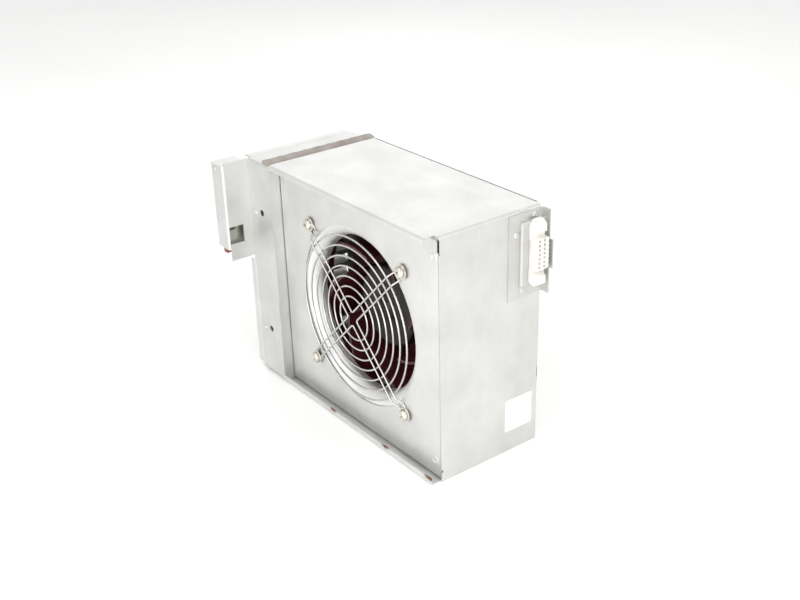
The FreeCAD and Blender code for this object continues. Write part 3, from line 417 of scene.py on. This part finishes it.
def softened(node, width_mm, finish, name):
    """A node's own form with its moulded edges rounded."""
    bm = bmesh.new()
    bm.from_mesh(frame["nodes"][node].data)
    bmesh.ops.remove_doubles(bm, verts=bm.verts, dist=2e-6)
    bmesh.ops.dissolve_limit(bm, angle_limit=math.radians(1), verts=bm.verts, edges=bm.edges)
    mesh = mesh_from(bm, name)
    mesh = apply_modifiers(mesh, [("BEVEL", {"width": width_mm * MM, "segments": 2, "limit_method": "ANGLE",
                                             "angle_limit": math.radians(40), "use_clamp_overlap": True})])
    mesh.name = name
    return install(mesh, name, finish, node)


# ---- finger guard ----
WIRE_R = 0.65
BOLT_HALF = 52.5
RING_RADII = [15.8 + 7.2 * k for k in range(7)]
RING_OUT = 3.1
ARM_GAP = 3.2
ARM_OUT = RING_OUT + 2 * WIRE_R - 0.2
EYE_OUT = 0.65


def guard_arm(turn_deg):
    """One bent wire from a screw's eye, past the open middle, to the next screw's eye."""
    reach = BOLT_HALF * math.sqrt(2)

    def spot(along, aside, out, side):
        a = math.radians(turn_deg + 45 * side)
        aside *= side
        return on_fan(along * math.sin(a) - aside * math.cos(a), -out,
                      along * math.cos(a) + aside * math.sin(a))

    stations = [(reach + ARM_GAP, 0, EYE_OUT), (reach + ARM_GAP, ARM_GAP, EYE_OUT),
                (reach - 6.5, ARM_GAP, EYE_OUT), (reach - 11.5, ARM_GAP, ARM_OUT)]
    out = [spot(*s, 1) for s in stations]
    back = [spot(*s, -1) for s in reversed(stations)]
    a = math.radians(turn_deg)
    apex = ARM_GAP * math.sqrt(2)
    tip = on_fan(apex * math.sin(a), -ARM_OUT, apex * math.cos(a))
    radii = [r * MM for r in (ARM_GAP - 0.05, 3.0, 3.0, 1.8, 3.0, 3.0, ARM_GAP - 0.05)]
    return rounded(out + [tip] + back, radii, 8)


def finger_guard(finishes):
    rings = []
    for r in RING_RADII:
        rings.append([on_fan(r * math.cos(a), -RING_OUT, r * math.sin(a))
                      for a in (2 * math.pi * k / 96 for k in range(96))])
    install(wires("guard_rings", rings, WIRE_R * MM, True), "guard_rings", finishes["wire"], "finger_guard")
    arms = [guard_arm(90 * k) for k in range(4)]
    install(wires("guard_arms", arms, WIRE_R * MM, False), "guard_arms", finishes["wire"], "finger_guard")


def bolt_feet(y):
    return [on_fan(sx * BOLT_HALF, y, sz * BOLT_HALF) for sx in (-1, 1) for sz in (-1, 1)]


def recess(feet, axis, quarter):
    """One tapered bar of the cross that is cut into each screw head."""
    span, width, deep = 4.2 * MM, 0.95 * MM, 1.5 * MM
    bm = bmesh.new()
    swing = Vector((0, 0, 1)).rotation_difference(Vector(axis)).to_matrix().to_4x4()
    for i, foot in enumerate(feet):
        turned_by = math.radians(quarter + 25 + 40 * i)
        place = Matrix.Translation(foot) @ swing @ Matrix.Rotation(turned_by, 4, "Z")
        for v in bmesh.ops.create_cube(bm, size=1.0)["verts"]:
            narrow = 0.35 if v.co.z < 0 else 1.0
            v.co = place @ Vector((v.co.x * span * narrow, v.co.y * width, v.co.z * deep * 2))
    return mesh_from(bm, "recess")


def guard_screws(finishes):
    """Pan heads with a cross recess on plain washers."""
    wire_top = EYE_OUT + WIRE_R
    washer = [(2.15, -0.1), (5.0, -0.1), (5.2, 0.1), (5.2, 0.6), (5.05, 0.75), (2.15, 0.75)]
    install(turned("washers", washer, bolt_feet(-wire_top + 0.05), (0, -1, 0), 40, True), "washers",
            finishes["yellow"], "guard_washers")
    foot = -wire_top - 0.75
    head = [(0, -8.5), (1.7, -8.5), (1.95, -8.2), (1.95, 0), (3.9, 0), (4.0, 0.3)]
    head += arc(1.9, 0.55, 2.1, 0, 78, 6) + [(0, 2.75)]
    heads = turned("screw_heads", head, bolt_feet(foot), (0, -1, 0), 40)
    for quarter in (0, 90):
        cutter = bpy.data.objects.new("cutter", recess(bolt_feet(foot - 2.75), (0, -1, 0), quarter))
        bpy.context.scene.collection.objects.link(cutter)
        cut_away = {"operation": "DIFFERENCE", "object": cutter, "solver": "EXACT"}
        heads = apply_modifiers(heads, [("BOOLEAN", cut_away)])
        bpy.data.objects.remove(cutter)
    heads.name = "screw_heads"
    install(heads, "screw_heads", finishes["yellow"], "guard_screws")


# ---- inlet ring and fan ----
THROAT_R, BELL_R, RING_T, RING_BACK = 56.0, 10.5, 1.0, 1.1


def inlet_ring(finishes):
    end = RING_BACK + BELL_R
    near = arc(THROAT_R + BELL_R, RING_BACK + BELL_R, BELL_R, 270, 180, 16)
    far = arc(THROAT_R + BELL_R, RING_BACK + BELL_R, BELL_R - RING_T, 180, 270, 12)
    rim = THROAT_R + BELL_R + 14.0
    profile = [(rim, RING_BACK + RING_T), (rim, RING_BACK)] + near
    profile += [(THROAT_R, end + 1.9), (THROAT_R + RING_T, end + 1.9)] + far
    install(turned("bellmouth", profile, [on_fan(0, 0, 0)], (0, 1, 0), 144, True), "bellmouth",
            finishes["ring"], "inlet_ring")


IMP_R, EYE_R, IMP_BACK, BLADES = 68.0, 58.2, 46.0, 7


def shroud_line(inset, steps=12):
    turned_in = arc(EYE_R + 11.1, 14.5, 9.5 + inset, 180, 100, steps)
    last = turned_in[-1]
    return [(EYE_R + 1.6 - inset, 12.5)] + turned_in + [(IMP_R, last[1] + (IMP_R - last[0]) * 0.176)]


def shroud_height(r):
    """How far behind the panel the shroud's inside is at radius r."""
    line = shroud_line(1.2)
    for (r0, h0), (r1, h1) in zip(line, line[1:]):
        if r0 <= r <= r1 and r1 > r0:
            return h0 + (h1 - h0) * (r - r0) / (r1 - r0)
    return 15.0


def impeller(finishes):
    """Shroud, back plate and hub collar turned, with backward-curved blades between them."""
    bm = bmesh.new()
    centre = on_fan(0, 0, 0)
    turn(bm, shroud_line(0.0) + list(reversed(shroud_line(1.6))), centre, (0, 1, 0), 120, True)
    plate = [(30.1, IMP_BACK - 5), (31.6, IMP_BACK - 5), (32.2, IMP_BACK - 4.4), (32.2, IMP_BACK - 3.2)]
    plate += arc(33.4, IMP_BACK - 3.2, 1.2, 180, 90, 4)
    plate += [(IMP_R - 0.6, IMP_BACK - 2), (IMP_R, IMP_BACK - 1.4), (IMP_R, IMP_BACK), (32.2, IMP_BACK),
              (32.2, IMP_BACK + 4), (30.1, IMP_BACK + 4)]
    turn(bm, plate, centre, (0, 1, 0), 120, True)
    for k in range(BLADES):
        blade(bm, 2 * math.pi * k / BLADES)
    install(mesh_from(bm, "impeller_moulding"), "impeller_moulding", finishes["maroon"], "impeller")


def blade(bm, start):
    """One blade from the eye out to the rim, curved back from the way it turns."""
    steps, inner, outer, half = 18, 37.0, 67.7, 0.9
    shroud_starts, eye_front = 58.6, 15.5
    sweep = math.radians(52)
    line = []
    for i in range(steps + 1):
        t = i / steps
        r = inner + (outer - inner) * t
        line.append((r, start + sweep * t ** 0.85))
    rows = []
    for i, (r, a) in enumerate(line):
        r0, a0 = line[max(i - 1, 0)]
        r1, a1 = line[min(i + 1, steps)]
        along = Vector((r1 * math.cos(a1) - r0 * math.cos(a0), r1 * math.sin(a1) - r0 * math.sin(a0)))
        along = along.normalized()
        side = Vector((-along.y, along.x)) * half
        front = shroud_height(r)
        if r < shroud_starts:
            front = eye_front + (shroud_height(shroud_starts) - eye_front) * min(1, (r - inner) / 21)
        row = []
        for offset, y in ((side, front), (side, IMP_BACK - 1.5), (-side, IMP_BACK - 1.5), (-side, front)):
            row.append(bm.verts.new(on_fan(r * math.cos(a) + offset.x, y, r * math.sin(a) + offset.y)))
        rows.append(row)
    for here, there in zip(rows, rows[1:]):
        for j in range(4):
            bm.faces.new((here[j], there[j], there[(j + 1) % 4], here[(j + 1) % 4]))
    bm.faces.new(rows[0])
    bm.faces.new(list(reversed(rows[-1])))


def rotor_cup(finishes):
    """Drawn cup with a rounded shoulder and a dished middle."""
    profile = [(2.55, 28.0), (7.8, 28.0)] + arc(7.8, 27.0, 1.0, 90, 20, 4) + arc(11.4, 26.3, 1.3, 200, 270, 5)
    profile += arc(27.0, 28.0, 3.0, 270, 360, 8) + [(30.0, 60.0), (28.5, 60.0)]
    profile += arc(27.0, 28.0, 1.5, 0, -90, 6)
    profile += [(11.6, 26.5), (9.8, 29.5), (2.55, 29.5)]
    install(turned("rotor_cup", profile, [on_fan(0, 0, 0)], (0, 1, 0), 96, True), "rotor_cup",
            finishes["cup"], "rotor_can")


# ---- small parts of the box ----

def rivets(name, node, feet, axis, radius, height, finish):
    """Domed blind rivets with the pulled stem's hollow."""
    profile = [(0, height * 0.45), (0.55, height * 0.45), (0.75, height * 0.95)]
    profile += arc(radius - height, 0.0, height, 75, 8, 6) + [(radius, -0.1)]
    install(turned(name, profile, feet, axis, 32), name, finish, node)


def spot_welds(finishes):
    """Shallow rings that the welding tips left on the panel and the side strip."""
    ring = [(0, 0.05), (1.5, 0.03), (1.9, 0.10), (2.2, 0.26), (2.6, 0.16), (3.0, -0.05)]
    panel = [at(x, 0, z) for x, z in ((4.0, 159.0), (4.0, 103.0), (5.8, 11.4), (173.3, 160.3), (172.4, 13.8))]
    install(turned("panel_welds", ring, panel, (0, -1, 0), 28), "panel_welds", finishes["sheet"],
            "inlet_panel", False)
    strip = [at(x, -8.5, z) for x, z in ((-6.7, 163.0), (-9.0, 85.4), (-9.4, 52.3))]
    install(turned("strip_welds", ring, strip, (0, -1, 0), 28), "strip_welds", finishes["strip"],
            "collar", False)


def gasket(finishes):
    """Fabric over foam: a strip with flat edges and a soft, slightly uneven crown."""
    low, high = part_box("gasket")
    bm = bmesh.new()
    rows = []
    steps = 60
    for i in range(steps + 1):
        y = low.y + (high.y - low.y) * i / steps
        crown = (high.z - low.z) * (0.93 + 0.05 * math.sin(i * 0.9) + 0.02 * math.sin(i * 2.3))
        row = [bm.verts.new((low.x, y, low.z))]
        for k in range(13):
            t = k / 12
            rise = 0.35 + 0.65 * math.sin(math.pi * t) ** 0.5
            row.append(bm.verts.new((low.x + (high.x - low.x) * t, y, low.z + crown * rise)))
        row.append(bm.verts.new((high.x, y, low.z)))
        rows.append(row)
    for here, there in zip(rows, rows[1:]):
        for j in range(len(here)):
            bm.faces.new((here[j], there[j], there[(j + 1) % len(here)], here[(j + 1) % len(here)]))
    bm.faces.new(rows[0])
    bm.faces.new(list(reversed(rows[-1])))
    install(mesh_from(bm, "gasket_strip"), "gasket_strip", finishes["foam"], "gasket")


def sticker(finishes):
    """Bare label with rounded corners."""
    low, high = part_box("label")
    bm = bmesh.new()
    corner = 1.2 * MM
    loop = []
    for y, z, start in ((high.y, high.z, 0), (low.y, high.z, 90), (low.y, low.z, 180), (high.y, low.z, 270)):
        centre = (y - math.copysign(corner, y - (low.y + high.y) / 2),
                  z - math.copysign(corner, z - (low.z + high.z) / 2))
        loop += arc(centre[0], centre[1], corner, start, start + 90, 5)
    back, front = ([bm.verts.new((x, y, z)) for y, z in loop] for x in (low.x, high.x))
    bm.faces.new(list(reversed(back)))
    bm.faces.new(front)
    for i, here in enumerate(back):
        there = (i + 1) % len(back)
        bm.faces.new((here, back[there], front[there], front[i]))
    install(mesh_from(bm, "bare_sticker"), "bare_sticker", finishes["film"], "label")


def small_parts(finishes):
    """Blind rivets of the bracket, side strip, doubler and latch."""
    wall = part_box("foot_rivets")[1].y - 1.0 * MM
    low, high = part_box("foot_rivets")
    reach = 3.2 * MM
    feet = [Vector((x, wall, z)) for x in (low.x + reach, high.x - reach)
            for z in (low.z + reach, high.z - reach)]
    rivets("bracket_rivets", "foot_rivets", feet, (0, 1, 0), 3.2, 1.0, finishes["zinc"])
    strip = [at(-23.5, -8.5, z) for z in (132.8, 38.4)]
    rivets("side_rivets", "strip_rivets", strip, (0, -1, 0), 2.3, 0.8, finishes["zinc"])
    plate = [at(179.85, y, z) for y, z in ((61.6, 159.4), (77.5, 169.5), (67.5, 119.5))]
    rivets("doubler_rivets", "connector_rivets", plate, (1, 0, 0), 2.3, 0.7, finishes["zinc"])
    low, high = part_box("latch_pins")
    pins = [Vector(((low.x + high.x) / 2, at(0, -29.7, 0).y, z * MM)) for z in (129.0, 166.8)]
    rivets("latch_rivets", "latch_pins", pins, (0, -1, 0), 2.2, 0.8, finishes["zinc"])


# ---- floor ----

def floor():
    """A wide white card under the part."""
    bm = bmesh.new()
    for x, y in ((-6, -6), (6, -6), (6, 6), (-6, 6)):
        bm.verts.new((x, y, 0))
    bm.faces.new(bm.verts[:])
    mesh = mesh_from(bm, "floor")
    piece = bpy.data.objects.new("floor", mesh)
    bpy.context.scene.collection.objects.link(piece)
    mesh.materials.append(finish("white_studio_card", "#F4F4F3", "#F8F8F7", 400.0, (0.6, 0.8), 2.0, 0.01))


place_camera()
light_the_studio()
FINISHES = make_finishes()
dress_frame(FINISHES)
floor()
inlet_ring(FINISHES)
impeller(FINISHES)
rotor_cup(FINISHES)
finger_guard(FINISHES)
guard_screws(FINISHES)
small_parts(FINISHES)
spot_welds(FINISHES)
gasket(FINISHES)
sticker(FINISHES)
softened("connector_housing", 0.25, FINISHES["white"], "connector_moulding")
softened("latch_slide", 0.35, FINISHES["burgundy"], "latch_moulding")
